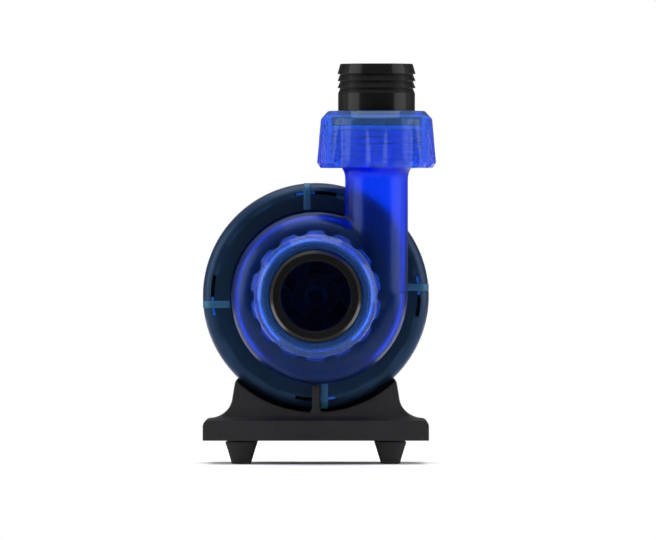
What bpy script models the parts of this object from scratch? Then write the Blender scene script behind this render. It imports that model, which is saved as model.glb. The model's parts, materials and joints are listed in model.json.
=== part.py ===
"""Submersible DC pump: finned motor on a footed base, bayonet head cover, swivelling volute
with an inlet and an outlet union. Lengths are in millimetres and become metres in the meshes.

Two frames are used. Most pieces hang from the empty "pump_axis": there X is right, Y is up and
Z runs forward, out of the inlet, with Z = 0 on the motor's front flange. The outlet pieces hang
from "outlet_axis": there Z runs up the outlet, with Z = 0 level with the pump's axis.
"""

import math

import bmesh
import bpy
from mathutils import Matrix

MM = 0.001
GAP = 0.3
MERGE = 0.00001
# Turned cutters and rods are turned this much, so that their edges miss those of the part.
CUTTER_TURN = 0.03

# Stand
FLOOR = -70.7
PLATE_TOP, PLATE_BOTTOM = -52.1, -60.9
PLATE_HALF_WIDTH = 47.6
PLATE_BACK, PLATE_FRONT = -80.0, 14.0
SADDLE_BACK, SADDLE_FRONT = -70.0, 7.9
SADDLE_TOP = (34.0, -36.0)
SADDLE_FOOT = 41.7
CRADLE_RADIUS = 48.9
HOUSING_SEAT_RADIUS = 44.9
FOOT_X = 31.4
FOOT_DEPTHS = {"front": 4.0, "rear": -66.0}
FOOT_TOP_RADIUS, FOOT_BOTTOM_RADIUS, FOOT_STUD_RADIUS = 6.85, 4.0, 2.5
BASE_SCREW_DEPTHS = {"front": -22.0, "rear": -58.0}

# Motor
HOUSING_RADIUS, FIN_RADIUS, HOUSING_BORE = 42.2, 44.5, 37.6
HOUSING_BACK = -72.0
FIN_COUNT = 16
LUG_RADIUS = 44.8
LUG_BACK = -3.5
CAN_BORE, CAN_RADIUS, CAN_END = 15.8, 17.0, -61.0
CAN_FLANGE_RADIUS = 36.8
SHAFT_RADIUS, BUSH_BORE = 3.0, 3.08
MAGNET_RADIUS, SLEEVE_RADIUS = 14.0, 15.0
TOOTH_COUNT = 6
CORE_BACK, CORE_FRONT = -48.0, -14.0
REAR_SCREW_RADIUS = 40.1

# Head cover
COVER_RADIUS, COVER_OPENING = 47.6, 35.8
COVER_BACK, COVER_LIP, COVER_FACE = -8.0, 3.0, 6.0
SKIRT_BORE = 45.1
HOOK_BORE = 42.5
BAYONETS = 4
HOOK_HALF_ANGLE, WINDOW_HALF_ANGLE = 11.8, 12.3
LUG_ANGLES = (-11.8, -0.5)
RIB_WIDTH, RIB_OFFSET, RIB_RISE = 3.0, 3.6, 1.2
INDEX_RIB_HALF_WIDTH = 1.65

# Volute
WALL = 2.5
SCROLL_BACK, SCROLL_FRONT = 8.2, 34.0
SCROLL_SMALL, SCROLL_LARGE = 35.3, 38.5
SCROLL_ROUNDING = 9.5
NECK_RADIUS, NECK_BORE, NECK_BACK, BEAD_RADIUS = 35.1, 32.6, 0.4, 36.5
OUTLET_X, OUTLET_DEPTH = 25.5, 21.55
TUBE_RADIUS, TUBE_BORE = 13.2, 10.7
IMPELLER_RADIUS = 26.0
BLADE_COUNT = 6
BLADE_ROOT, BLADE_TIP = 9.0, 25.6
BLADE_SWEEP = 46.0
BLADE_HALF_THICKNESS = 0.9

ROUND, MEDIUM, FINE, SMALL = 32, 24, 20, 10
LOBES = 14
POINTS_PER_LOBE = 4


class UnionSize:
    """Driving sizes of one pipe union, along its own axis. base is the nut's wide end."""

    def __init__(self, name, base, nut_radius, thread_radius, crest_radius, bore_radius):
        self.name = name
        self.base = base
        self.top = base + 23.9
        self.nut_radius = nut_radius
        self.thread_radius = thread_radius
        self.crest_radius = crest_radius
        self.bore_radius = bore_radius
        self.neck_radius = crest_radius - 0.25
        self.head_low = base + 2.7
        self.head_high = base + 15.9
        self.tip = self.top + 19.8


OUTLET = UnionSize("outlet", 53.8, 25.6, 19.9, 16.4, 12.5)
INLET = UnionSize("inlet", 38.5, 27.65, 22.6, 19.15, 14.5)
INLET_SPIGOT_RADIUS = 17.5
GLAND_END = -98.0

# Both nuts have a scallop at the side, so that half a lobe brings in their reach.
OUTLET_NUT_REACH = OUTLET.nut_radius * math.cos(math.pi / LOBES)
AXIS_X = (PLATE_HALF_WIDTH - OUTLET_X - OUTLET_NUT_REACH) / 2
AXIS_Y = (INLET.tip + GLAND_END) / 2
AXIS_Z = -FLOOR


# ---------------------------------------------------------------- helpers


def clear_scene():
    for obj in list(bpy.data.objects):
        bpy.data.objects.remove(obj, do_unlink=True)


def new_collection(name):
    collection = bpy.data.collections.new(name)
    bpy.context.scene.collection.children.link(collection)
    return collection


def material(name, color, roughness, metallic=0.0):
    made = bpy.data.materials.new(name)
    made.use_nodes = True
    shader = made.node_tree.nodes["Principled BSDF"]
    shader.inputs["Base Color"].default_value = (*color, 1.0)
    shader.inputs["Roughness"].default_value = roughness
    shader.inputs["Metallic"].default_value = metallic
    return made


def empty(name, location, rotation=(0.0, 0.0, 0.0)):
    obj = bpy.data.objects.new(name, None)
    obj.location = [value * MM for value in location]
    obj.rotation_euler = rotation
    PARTS.objects.link(obj)
    return obj


def add(name, mesh, parent, look=None):
    """Links a mesh as a part, or as a hidden cutter where it has no look."""
    obj = bpy.data.objects.new(name, mesh)
    obj.parent = parent
    if look is None:
        obj.hide_render = True
        obj.display_type = "WIRE"
        CUTTERS.objects.link(obj)
    else:
        mesh.materials.append(look)
        PARTS.objects.link(obj)
    return obj


def turned(name, profile, parent, look=None, steps=ROUND):
    """Turns a profile of (radius, height) about the parent's Z. It is open only on the axis."""
    ends = zip(profile, profile[1:] + profile[:1])
    area = sum(r0 * z1 - r1 * z0 for (r0, z0), (r1, z1) in ends)
    points = profile[::-1] if area > 0 else profile
    edges = [(i, i + 1) for i in range(len(points) - 1)]
    if min(radius for radius, height in points) > 0:
        edges.append((len(points) - 1, 0))
    mesh = bpy.data.meshes.new(name)
    mesh.from_pydata([(r * MM, 0.0, z * MM) for r, z in points], edges, [])
    obj = add(name, mesh, parent, look)
    screw = obj.modifiers.new("Turn", "SCREW")
    screw.steps = steps
    screw.render_steps = steps
    screw.use_merge_vertices = True
    screw.merge_threshold = MERGE
    if look is None:
        obj.rotation_euler.z = CUTTER_TURN
    return obj


def prism(name, outline, low, high, parent, look=None):
    """A flat outline in the parent's XY, extruded from low to high along Z."""
    form = bmesh.new()
    face = form.faces.new([form.verts.new((x * MM, y * MM, low * MM)) for x, y in outline])
    grown = bmesh.ops.extrude_face_region(form, geom=[face])["geom"]
    moved = [item for item in grown if isinstance(item, bmesh.types.BMVert)]
    bmesh.ops.translate(form, verts=moved, vec=(0.0, 0.0, (high - low) * MM))
    bmesh.ops.recalc_face_normals(form, faces=form.faces)
    return add(name, mesh_of(name, form), parent, look)


def boxes(name, spans, parent, look=None, turns=(0.0,)):
    """Boxes given as (low corner, high corner), each copied at every turn about Z, in degrees."""
    form = bmesh.new()
    for turn in turns:
        for low, high in spans:
            middle = [(a + b) / 2 * MM for a, b in zip(low, high)]
            size = [abs(b - a) * MM for a, b in zip(low, high)]
            place = Matrix.Rotation(math.radians(turn), 4, "Z") @ Matrix.Translation(middle)
            bmesh.ops.create_cube(form, size=1.0, matrix=place @ Matrix.Diagonal((*size, 1.0)))
    return add(name, mesh_of(name, form), parent, look)


def rods(name, radius, low, high, centres, parent, look=None, steps=SMALL):
    """Parallel cylinders along Z, one at each (x, y)."""
    form = bmesh.new()
    for x, y in centres:
        place = Matrix.Translation((x * MM, y * MM, (low + high) / 2 * MM))
        place = place @ Matrix.Rotation(CUTTER_TURN * radius, 4, "Z")
        bmesh.ops.create_cone(
            form, cap_ends=True, segments=steps, radius1=radius * MM, radius2=radius * MM,
            depth=(high - low) * MM, matrix=place,
        )
    return add(name, mesh_of(name, form), parent, look)


def skin(name, rows, parent, look=None, wrap_columns=True):
    """Skins rows of points into a closed body: the rows join in a loop, and so may their points."""
    form = bmesh.new()
    grid = [[form.verts.new([value * MM for value in point]) for point in row] for row in rows]
    columns = len(grid[0]) if wrap_columns else len(grid[0]) - 1
    for row, following in zip(grid, grid[1:] + grid[:1]):
        for column in range(columns):
            after = (column + 1) % len(row)
            form.faces.new([row[column], row[after], following[after], following[column]])
    bmesh.ops.remove_doubles(form, verts=form.verts, dist=MERGE)
    bmesh.ops.recalc_face_normals(form, faces=form.faces)
    return add(name, mesh_of(name, form), parent, look)


def mesh_of(name, form):
    mesh = bpy.data.meshes.new(name)
    form.to_mesh(mesh)
    form.free()
    return mesh


def boolean(obj, other, operation):
    change = obj.modifiers.new(other.name, "BOOLEAN")
    change.operation = operation
    change.solver = "EXACT"
    change.object = other
    return obj


def cut(obj, other):
    if "Turn" in other.modifiers:
        other.rotation_euler.z += CUTTER_TURN / 2
    return boolean(obj, other, "DIFFERENCE")


def join(obj, other):
    return boolean(obj, other, "UNION")


def polar(radius, degrees):
    return radius * math.cos(math.radians(degrees)), radius * math.sin(math.radians(degrees))


def arc(centre, radius, start, end, count):
    """Points of an arc, both ends included."""
    angles = [start + (end - start) * i / (count - 1) for i in range(count)]
    return [(centre[0] + polar(radius, a)[0], centre[1] + polar(radius, a)[1]) for a in angles]


def sector(inner, outer, start, end, count=4):
    """Outline of a piece of a ring between two angles."""
    return arc((0, 0), outer, start, end, count) + arc((0, 0), inner, end, start, count)


def around(radius, count, first=0.0):
    return [polar(radius, first + 360.0 * i / count) for i in range(count)]


# ---------------------------------------------------------------- stand


def base_outline():
    """Saddle seen from the front: a cradle on top and flared sides."""
    top_x, top_y = SADDLE_TOP
    cradle_end = math.degrees(math.atan2(top_y, top_x))
    cradle = arc((0, 0), HOUSING_SEAT_RADIUS, 180 - cradle_end, 360 + cradle_end, 17)
    flare = [(35.3, -42.0), (37.6, -47.4), (SADDLE_FOOT, PLATE_TOP)]
    right = [(top_x, top_y)] + flare + [(SADDLE_FOOT, PLATE_TOP - 2.0)]
    left = [(-x, y) for x, y in reversed(right)]
    return cradle + right + left


def plate_outline():
    """Plate seen from the front, with its top corners rounded."""
    half, rounding = PLATE_HALF_WIDTH, 2.5
    corner = arc((half - rounding, PLATE_TOP - rounding), rounding, 90, 0, 4)
    right = corner + [(half, PLATE_BOTTOM)]
    return right + [(-x, y) for x, y in reversed(right)]


def make_base():
    base = prism("base", plate_outline(), PLATE_BACK, PLATE_FRONT, PUMP, GREY_PLASTIC)
    join(base, prism("base_saddle", base_outline(), SADDLE_BACK, SADDLE_FRONT, PUMP))
    cradle = [(0, -9.0), (CRADLE_RADIUS, -9.0), (CRADLE_RADIUS, 20.0), (0, 20.0)]
    cut(base, turned("base_cradle", cradle, PUMP))
    half = INDEX_RIB_HALF_WIDTH
    rib = [((-half, -50.5, COVER_FACE + GAP), (half, -37.4, SADDLE_FRONT))]
    join(base, boxes("base_index_rib", rib, PUMP))
    for place, frame in SCREW_FRAMES.items():
        bore = [(0, -35.0), (2.4, -35.0), (2.4, -53.0), (4.6, -53.0), (4.6, -65.0), (0, -65.0)]
        cut(base, turned("base_screw_hole_" + place, bore, frame, None, SMALL))
        screw = [(0, -37.5), (1.9, -37.5), (1.9, -53.4), (4.2, -53.4), (4.2, -57.0), (0, -57.0)]
        turned("base_screw_" + place, screw, frame, STEEL, SMALL)
    for place, depth in FOOT_DEPTHS.items():
        for side, x in (("left", -FOOT_X), ("right", FOOT_X)):
            frame = upright(f"foot_axis_{place}_{side}", x, depth)
            socket = FOOT_STUD_RADIUS + GAP
            hole = [(0, -56.3), (socket, -56.3), (socket, -62.0), (0, -62.0)]
            cut(base, turned(f"foot_socket_{place}_{side}", hole, frame, None, SMALL))
            make_foot(f"foot_{place}_{side}", frame)


def upright(name, x, depth):
    """An empty on a vertical axis: its Z runs up, and its zero is level with the pump's axis."""
    return empty(name, (AXIS_X + x, AXIS_Y - depth, AXIS_Z))


def make_foot(name, frame):
    top = PLATE_BOTTOM - GAP
    profile = [
        (0, FLOOR), (FOOT_BOTTOM_RADIUS - 0.5, FLOOR), (FOOT_BOTTOM_RADIUS, FLOOR + 0.5),
        (FOOT_TOP_RADIUS, top), (FOOT_STUD_RADIUS, top), (FOOT_STUD_RADIUS, -57.0), (0, -57.0),
    ]
    turned(name, profile, frame, RUBBER, SMALL)


# ---------------------------------------------------------------- motor


def fin_ring(height, crest, valley=HOUSING_RADIUS):
    """One ring of the housing: its fins reach crest, and between them it stays at valley."""
    pitch = 360.0 / FIN_COUNT
    shares = ((-0.28, crest), (0.08, crest), (0.16, valley), (0.64, valley))
    return [
        (*polar(radius, (fin + share) * pitch + 90.0), height)
        for fin in range(FIN_COUNT)
        for share, radius in shares
    ]


def plain_ring(height, radius):
    return fin_ring(height, radius, radius)


def make_housing():
    rows = [
        plain_ring(0, HOUSING_RADIUS), plain_ring(-10, HOUSING_RADIUS),
        fin_ring(-12, FIN_RADIUS), fin_ring(-67, FIN_RADIUS),
        fin_ring(-70, HOUSING_RADIUS + 0.6), plain_ring(HOUSING_BACK, HOUSING_RADIUS),
        plain_ring(HOUSING_BACK, HOUSING_BORE), plain_ring(-9, HOUSING_BORE),
        plain_ring(-7, 33.0), plain_ring(-2 - GAP, 33.0),
        plain_ring(-2 - GAP, CAN_FLANGE_RADIUS + GAP), plain_ring(0, CAN_FLANGE_RADIUS + GAP),
    ]
    housing = skin("motor_housing", rows, PUMP, BLACK_PLASTIC)
    for k in range(BAYONETS):
        outline = sector(40.5, LUG_RADIUS, 90 * k + LUG_ANGLES[0], 90 * k + LUG_ANGLES[1])
        join(housing, prism(f"bayonet_lug_{k + 1}", outline, LUG_BACK, -0.2, PUMP))
    for place, frame in SCREW_FRAMES.items():
        post = [(0, -35.6), (4.5, -35.6), (4.5, -43.2), (0, -43.2)]
        join(housing, turned("screw_post_" + place, post, frame, None, SMALL))
        hole = [(0, -37.0), (2.1, -37.0), (2.1, -46.0), (0, -46.0)]
        cut(housing, turned("screw_post_hole_" + place, hole, frame, None, SMALL))
    centres = around(REAR_SCREW_RADIUS, 4, 45.0)
    cut(housing, rods("rear_screw_holes", 1.55, -84, -62, centres, PUMP))


def make_rotor_can():
    profile = [
        (0, CAN_END), (CAN_RADIUS, CAN_END), (CAN_RADIUS, -2), (CAN_FLANGE_RADIUS, -2),
        (CAN_FLANGE_RADIUS, 0), (CAN_BORE, 0), (CAN_BORE, CAN_END + 2), (0, CAN_END + 2),
    ]
    can = turned("rotor_can", profile, PUMP, BLACK_PLASTIC)
    centres = around(24.0, 3, 90.0)
    join(can, rods("can_bosses", 3.2, -7, -1, centres, PUMP))
    cut(can, rods("can_boss_holes", 1.5, -6, 4, centres, PUMP))


def make_stator():
    depth = (CORE_BACK, CORE_FRONT)
    yoke = [(29, depth[0]), (34, depth[0]), (34, depth[1]), (29, depth[1])]
    core = turned("stator_core", yoke, PUMP, LAMINATION)
    turns = [60.0 * k for k in range(TOOTH_COUNT)]
    tooth = [((CAN_RADIUS + 0.6, -3.5, depth[0] + 0.2), (30.2, 3.5, depth[1] - 0.2))]
    join(core, boxes("stator_teeth", tooth, PUMP, None, turns))
    for k, turn in enumerate(turns):
        body = [((19.5, -6.5, depth[0] - 3.5), (28, 6.5, depth[1] + 3.5))]
        window = [((18, -3.9, depth[0] - 0.4), (30, 3.9, depth[1] + 0.4))]
        coil = boxes(f"coil_{k + 1}", body, PUMP, COPPER)
        cutter = boxes(f"coil_window_{k + 1}", window, PUMP)
        for obj in (coil, cutter):
            obj.rotation_euler.z = math.radians(turn)
        cut(coil, cutter)
    board = [(CAN_RADIUS + 1, -55.4), (34, -55.4), (34, -53.8), (CAN_RADIUS + 1, -53.8)]
    turned("winding_board", board, PUMP, BOARD, MEDIUM)


def make_rotor():
    shaft = [(0, -57), (SHAFT_RADIUS - 0.4, -57), (SHAFT_RADIUS, -56.6)]
    shaft += [(SHAFT_RADIUS, 19.6), (SHAFT_RADIUS - 0.4, 20), (0, 20)]
    turned("shaft", shaft, PUMP, CERAMIC, FINE)
    bore = SHAFT_RADIUS + GAP
    magnet = [(bore, -50), (MAGNET_RADIUS, -50), (MAGNET_RADIUS, -10), (bore, -10)]
    turned("rotor_magnet", magnet, PUMP, FERRITE, MEDIUM)
    inner = MAGNET_RADIUS + GAP
    sleeve = [
        (bore, -51.6), (SLEEVE_RADIUS, -51.6), (SLEEVE_RADIUS, -9), (inner, -9),
        (inner, -50 - GAP), (bore, -50 - GAP),
    ]
    turned("rotor_sleeve", sleeve, PUMP, BLACK_PLASTIC, MEDIUM)
    cap = [(bore, -9.7), (inner - GAP, -9.7), (inner - GAP, -8.2), (bore, -8.2)]
    turned("rotor_sleeve_cap", cap, PUMP, BLACK_PLASTIC, MEDIUM)


def make_bearings():
    plate = [
        (5.3, -3.5), (8.2, -3.5), (8.2, GAP), (31.0, GAP), (31.0, 6.0), (29.4, 6.0),
        (29.4, 2.3), (8.2, 2.3), (8.2, 4.6), (5.3, 4.6),
    ]
    holder = turned("bearing_plate", plate, PUMP, BLACK_PLASTIC)
    centres = around(24.0, 3, 90.0)
    cut(holder, rods("plate_screw_holes", 1.6, -1, 4, centres, PUMP))
    for k, (x, y) in enumerate(centres):
        screw = [(0, -5.5), (1.2, -5.5), (1.2, 2.6), (2.5, 2.6), (2.5, 4.2), (0, 4.2)]
        made = turned(f"plate_screw_{k + 1}", screw, PUMP, STEEL, SMALL)
        made.location = (x * MM, y * MM, 0.0)
    bush = [(BUSH_BORE, -3.0), (5.0, -3.0), (5.0, 4.6), (BUSH_BORE, 4.6)]
    turned("bush_front", bush, PUMP, CERAMIC, FINE)
    rear = [(BUSH_BORE, -57.4), (5.0, -57.4), (5.0, -53.0), (BUSH_BORE, -53.0)]
    turned("bush_rear", rear, PUMP, CERAMIC, FINE)
    rubber = [(0, -58.7), (8.0, -58.7), (8.0, -53.6), (5.3, -53.6), (5.3, -57.8), (0, -57.8)]
    turned("bush_holder_rear", rubber, PUMP, RUBBER, SMALL)
    for name, low in (("thrust_washer_front", 4.9), ("thrust_washer_rear", -52.6)):
        inner = SHAFT_RADIUS + GAP
        washer = [(inner, low), (5.6, low), (5.6, low + 0.7), (inner, low + 0.7)]
        turned(name, washer, PUMP, CERAMIC, FINE)
    ring = arc((31.7, 3.4), 0.55, 0, 360, 7)[:-1]
    turned("swivel_seal", ring, PUMP, RUBBER)


def blade_outline(first):
    """One vane seen from the front, swept back from its root, which is at the first angle."""
    stations = [i / 4 for i in range(5)]
    line = [
        (BLADE_ROOT + (BLADE_TIP - BLADE_ROOT) * share, first - BLADE_SWEEP * share ** 0.8)
        for share in stations
    ]
    left, right = [], []
    for radius, angle in line:
        half = math.degrees(BLADE_HALF_THICKNESS / radius)
        left.append(polar(radius, angle + half))
        right.append(polar(radius, angle - half))
    return left + right[::-1]


def make_impeller():
    hub = [
        (3.1, 6.2), (6.0, 6.2), (6.0, 8.0), (IMPELLER_RADIUS, 8.0), (IMPELLER_RADIUS, 9.6),
        (10.0, 10.6), (9.6, 18.0), (4.6, 18.0), (4.4, 21.4), (3.1, 21.4),
    ]
    impeller = turned("impeller", hub, PUMP, BLACK_PLASTIC, MEDIUM)
    for k in range(BLADE_COUNT):
        blade = prism(f"blade_{k + 1}", blade_outline(360.0 * k / BLADE_COUNT), 8.8, 19.0, PUMP)
        join(impeller, blade)
    marks = [((-2.3, 7.8, 17.5), (2.3, 9.0, 18.7)), ((-2.3, -9.0, 17.5), (2.3, -7.8, 18.7))]
    join(impeller, boxes("impeller_marks", marks, PUMP))
    nose = [(0, 21.7), (4.2, 21.7), (4.2, 22.6), (3.2, 24.0), (1.7, 24.8), (0, 25.0)]
    turned("impeller_cap", nose, PUMP, BLACK_PLASTIC, SMALL)


def make_rear():
    cover = [
        (6.2, -72.3), (33.6, -72.3), (33.6, -66.0), (36.3, -66.0), (36.3, -72.3),
        (HOUSING_RADIUS, -72.3), (HOUSING_RADIUS, -75.6), (39.0, -76.0), (37.0, -79.0),
        (34.0, -80.0), (12.0, -80.0), (12.0, -78.0), (6.2, -78.0),
    ]
    rear = turned("rear_cover", cover, PUMP, BLACK_PLASTIC)
    centres = around(REAR_SCREW_RADIUS, 4, 45.0)
    cut(rear, rods("rear_cover_holes", 1.7, -77.0, -60, centres, PUMP))
    cut(rear, rods("rear_head_seats", 3.4, -90.0, -75.0, centres, PUMP))
    for k, (x, y) in enumerate(centres):
        screw = [(0, -78.0), (2.5, -78.0), (2.9, -77.4), (2.9, -75.4), (1.35, -75.4),
                 (1.35, -63.5), (0, -63.5)]
        made = turned(f"rear_screw_{k + 1}", screw, PUMP, STEEL, SMALL)
        made.location = (x * MM, y * MM, 0.0)
    seal = arc((36.97, -68.6), 0.45, 0, 360, 7)[:-1]
    turned("rear_seal", seal, PUMP, RUBBER)
    body = [(3.4, -68), (5.8, -68), (5.8, -78.3), (9.2, -78.3), (9.2, -81.5), (6.4, -81.5),
            (6.4, -90), (3.4, -90)]
    turned("gland_body", body, PUMP, BLACK_PLASTIC, SMALL)
    ring = [(3.1, -94.6), (5.0, -94.6), (6.2, -90.3), (3.1, -90.3)]
    turned("gland_seal", ring, PUMP, RUBBER, SMALL)
    nut = [(6.8, -82), (9.0, -82), (9.0, -92.5), (6.6, GLAND_END), (3.9, GLAND_END),
           (3.9, -95.4), (5.4, -95.0), (6.8, -90.0)]
    turned("gland_nut", nut, PUMP, BLACK_PLASTIC, SMALL)


# ---------------------------------------------------------------- head


def make_head_cover():
    shoulder = arc((43.7, 2.1), 3.9, 90, 0, 5)
    profile = [(COVER_OPENING, COVER_LIP), (COVER_OPENING, COVER_FACE)] + shoulder
    profile += [(COVER_RADIUS, COVER_BACK), (SKIRT_BORE, COVER_BACK), (SKIRT_BORE, COVER_LIP)]
    cover = turned("head_cover", profile, HEAD, NAVY_PLASTIC)
    for k in range(BAYONETS):
        turn = 90 * k
        hook = sector(HOOK_BORE, SKIRT_BORE + 1, turn - HOOK_HALF_ANGLE, turn + HOOK_HALF_ANGLE)
        join(cover, prism(f"hook_{k + 1}", hook, -7.0, LUG_BACK - GAP, HEAD))
        window = sector(42.2, 44.3, turn - WINDOW_HALF_ANGLE, turn + WINDOW_HALF_ANGLE)
        cut(cover, prism(f"window_{k + 1}", window, 1.0, 9.0, HEAD))
    half = RIB_WIDTH / 2
    low = (36.2, RIB_OFFSET - half, COVER_FACE - 0.5)
    high = (43.9, RIB_OFFSET + half, COVER_FACE + RIB_RISE)
    turns = [90.0 * k for k in range(BAYONETS)]
    join(cover, boxes("head_ribs", [(low, high)], HEAD, None, turns))


# ---------------------------------------------------------------- volute


def scroll_radius(angle):
    """Grows on the lower half, from the left side round to the outlet on the right."""
    grown = min(max((angle - 180.0) / 180.0, 0.0), 1.0)
    return SCROLL_SMALL + (SCROLL_LARGE - SCROLL_SMALL) * grown


def scroll(name, look, inset):
    """The snail body, drawn in by inset all over."""
    front, back = SCROLL_FRONT - inset, SCROLL_BACK + inset
    rounding = SCROLL_ROUNDING - inset
    rows = []
    for angle in [360.0 * i / ROUND + 46.0 for i in range(ROUND)]:
        radius = scroll_radius(angle if angle <= 360.0 else 180.0) - inset
        side = [(0, front)] + arc((radius - rounding, front - rounding), rounding, 90, 0, 5)
        side += [(radius, back + 0.6), (radius - 0.6, back), (0, back)]
        rows.append([(*polar(r, angle), z) for r, z in side])
    return skin(name, rows, HEAD, look, wrap_columns=False)


def spigot(size, root_radius, start):
    """Outside of a threaded spigot, from its axis at start to its head."""
    flare = [(root_radius, size.head_low - 7.0), (root_radius + 0.8, size.head_low - 3.4)]
    flare += [(root_radius + 3.0, size.head_low - 0.9), (size.thread_radius, size.head_low)]
    head = [(size.thread_radius, size.head_high - 0.6), (size.thread_radius - 0.6, size.head_high)]
    return [(0, start), (root_radius, start)] + flare + head + [(0, size.head_high)]


def make_volute():
    volute = scroll("volute", BLUE_PLASTIC, 0.0)
    dome = arc((0, 0), TUBE_RADIUS, -90, 0, 6)
    tube = [(0, -TUBE_RADIUS)] + dome[1:-1] + spigot(OUTLET, TUBE_RADIUS, 0.0)[1:]
    join(volute, turned("outlet_tube", tube, OUTLET_FRAME, None, MEDIUM))
    neck = [
        (0, NECK_BACK), (BEAD_RADIUS - 0.8, NECK_BACK), (BEAD_RADIUS, 1.2),
        (BEAD_RADIUS, COVER_LIP - GAP), (NECK_RADIUS, COVER_LIP - GAP), (NECK_RADIUS, 9.6),
        (0, 9.6),
    ]
    join(volute, turned("volute_neck", neck, HEAD))
    join(volute, turned("inlet_spigot", spigot(INLET, INLET_SPIGOT_RADIUS, 30.0), HEAD))
    cut(volute, scroll("scroll_space", None, WALL))
    bore_bottom = arc((0, 0), TUBE_BORE, -90, 0, 5)
    bore = [(0, -TUBE_BORE)] + bore_bottom[1:] + [(TUBE_BORE, 80.0), (0, 80.0)]
    cut(volute, turned("outlet_bore", bore, OUTLET_FRAME, None, MEDIUM))
    cut(volute, turned("neck_bore", [(0, -3), (NECK_BORE, -3), (NECK_BORE, 12), (0, 12)], HEAD))
    eye = [(0, 25), (INLET.bore_radius, 25), (INLET.bore_radius, 70), (0, 70)]
    cut(volute, turned("inlet_bore", eye, HEAD, None, MEDIUM))


def lobed_ring(height, radius, scallop, inner=False):
    """One ring of a nut. Its scallops are cut in by the given depth halfway between lobes."""
    count = LOBES * POINTS_PER_LOBE
    points = []
    for i in range(count):
        phase = math.cos(2 * math.pi * i / POINTS_PER_LOBE)
        depth = 0.0 if inner else scallop * (0.5 - 0.5 * phase)
        points.append((*polar(radius - depth, 360.0 * i / count), height))
    return points


def make_union(size, frame):
    """Gasket, hose barb and nut of one union, all along the frame's Z."""
    seat = size.head_high + GAP
    flange_low, flange_high = seat + 1.5 + GAP, size.top - 3.2
    gasket = [(size.bore_radius + 0.2, seat), (size.thread_radius - 0.8, seat),
              (size.thread_radius - 0.8, seat + 1.5), (size.bore_radius + 0.2, seat + 1.5)]
    turned(size.name + "_gasket", gasket, frame, SILICONE, MEDIUM)

    crest, root = size.crest_radius, size.crest_radius - 1.1
    teeth = []
    for k in range(3):
        top = size.tip - 4.2 - 2.95 * k
        teeth += [(crest, top), (root, top - 0.2)]
    barb = [(size.thread_radius - 0.7, flange_low), (size.thread_radius - 0.7, flange_high)]
    barb += [(size.neck_radius, flange_high), (size.neck_radius, size.tip - 12.4)]
    barb += teeth[::-1] + [(crest - 1.2, size.tip)]
    barb += [(size.bore_radius, size.tip), (size.bore_radius, flange_low)]
    turned(size.name + "_barb", barb, frame, BLACK_PLASTIC, MEDIUM)

    wide, low, top = size.nut_radius, size.base, size.top
    opening, bore = size.neck_radius + 0.65, size.thread_radius + 0.4
    rows = [
        lobed_ring(low, wide - 1.7, 1.6), lobed_ring(low + 2.0, wide, 3.0),
        lobed_ring(top - 5.0, wide - 1.85, 0.6), lobed_ring(top, wide - 5.5, 0.0),
        lobed_ring(top, opening, 0.0, True), lobed_ring(top - 2.9, opening, 0.0, True),
        lobed_ring(top - 2.9, bore, 0.0, True), lobed_ring(low, bore, 0.0, True),
    ]
    nut = skin(size.name + "_nut", rows, frame, BLUE_PLASTIC)
    nut.rotation_euler.z = math.pi / LOBES


# ---------------------------------------------------------------- build

clear_scene()
PARTS = new_collection("submersible_pump")
CUTTERS = new_collection("submersible_pump_cutters")

GREY_PLASTIC = material("grey_plastic", (0.040, 0.038, 0.040), 0.55)
BLACK_PLASTIC = material("black_plastic", (0.015, 0.015, 0.017), 0.35)
NAVY_PLASTIC = material("navy_plastic", (0.02, 0.04, 0.09), 0.15)
BLUE_PLASTIC = material("blue_plastic", (0.02, 0.06, 0.75), 0.1)
RUBBER = material("rubber", (0.02, 0.02, 0.02), 0.8)
SILICONE = material("silicone", (0.15, 0.55, 0.75), 0.3)
STEEL = material("steel", (0.6, 0.6, 0.62), 0.3, 1.0)
COPPER = material("copper", (0.7, 0.3, 0.12), 0.35, 1.0)
LAMINATION = material("lamination", (0.35, 0.36, 0.38), 0.45, 1.0)
FERRITE = material("ferrite", (0.05, 0.05, 0.055), 0.5)
CERAMIC = material("ceramic", (0.85, 0.84, 0.8), 0.2)
BOARD = material("board", (0.03, 0.2, 0.08), 0.5)

FACING = (math.radians(90), 0.0, 0.0)
PUMP = empty("pump_axis", (AXIS_X, AXIS_Y, AXIS_Z), FACING)
HEAD = empty("head_axis", (AXIS_X, AXIS_Y, AXIS_Z), FACING)
OUTLET_FRAME = empty("outlet_axis", (AXIS_X + OUTLET_X, AXIS_Y - OUTLET_DEPTH, AXIS_Z))
SCREW_FRAMES = {
    place: upright("base_screw_axis_" + place, 0.0, depth)
    for place, depth in BASE_SCREW_DEPTHS.items()
}

make_base()
make_housing()
make_rotor_can()
make_stator()
make_rotor()
make_bearings()
make_impeller()
make_rear()
make_head_cover()
make_volute()
make_union(OUTLET, OUTLET_FRAME)
make_union(INLET, HEAD)
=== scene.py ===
"""Looks of the submersible pump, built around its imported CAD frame.

Lengths are millimetres in the pump's own axes and become metres in the meshes. Pump axes: X is
right, Y is up and Z runs forward out of the inlet, from the motor's front flange. Outlet axes: Z
runs up the outlet, from the level of the pump's axis.
"""

import json
import math

import bmesh
import bpy
from mathutils import Matrix, Vector


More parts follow.
